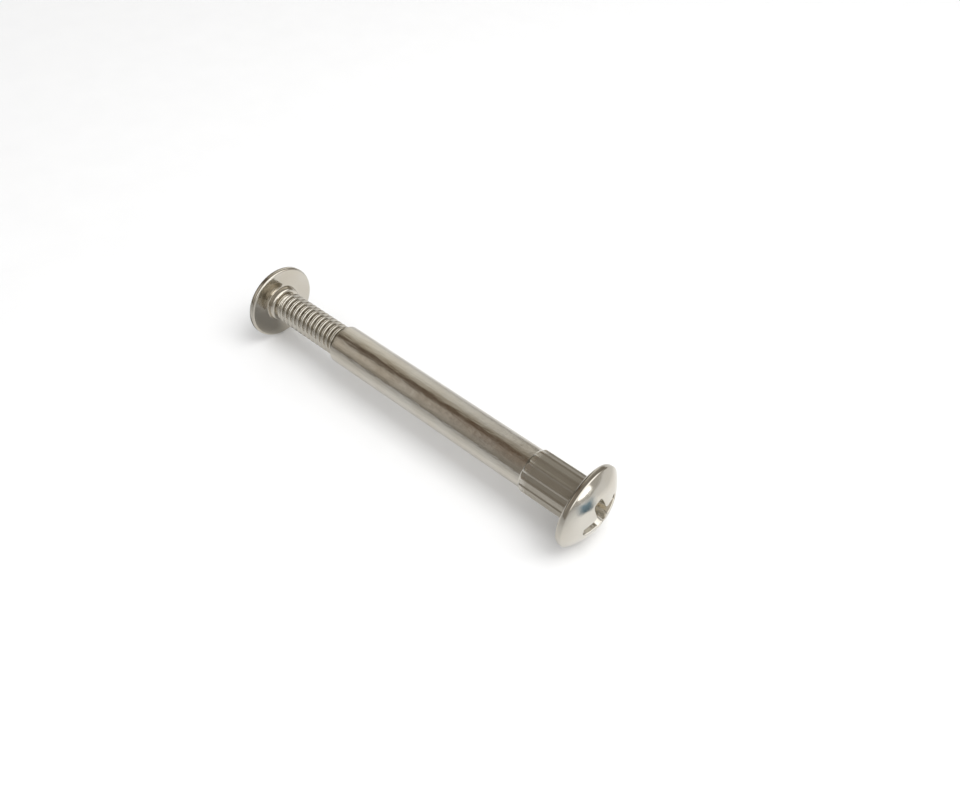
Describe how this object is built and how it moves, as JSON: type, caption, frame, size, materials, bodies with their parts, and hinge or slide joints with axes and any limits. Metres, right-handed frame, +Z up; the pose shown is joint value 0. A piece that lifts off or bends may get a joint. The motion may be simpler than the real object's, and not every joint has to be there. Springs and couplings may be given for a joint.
{
  "type": "binding barrel screw",
  "caption": "Domed-head barrel with a splined neck and a domed-head screw that threads into it to clamp boards between the two heads.",
  "frame": {"origin": "the point on the surface it lies on, under the middle of its length: centre of the bottom of its box", "axes": "+X along the length from the screw's head to the barrel's head, +Z up. The pair lies on the rims of both heads, so the axis leans 0.34 degrees down towards the screw's smaller head"},
  "size_m": [0.0552, 0.0104, 0.0105],
  "materials": {
    "barrel_nickel": "bright nickel plate on turned steel, polished, faintly warm",
    "screw_nickel": "bright nickel plate on rolled steel thread and headed steel, polished, faintly warm"
  },
  "bodies": {
    "barrel": {"barrel": "barrel_nickel"},
    "screw": {"screw": "screw_nickel"}
  },
  "joints": [
    {"name": "screw_travel", "type": "slide", "parent": "barrel", "child": "screw", "axis": [-1, 0, -0.0059], "range_m": [-0.01111, 0.01429]}
  ]
}
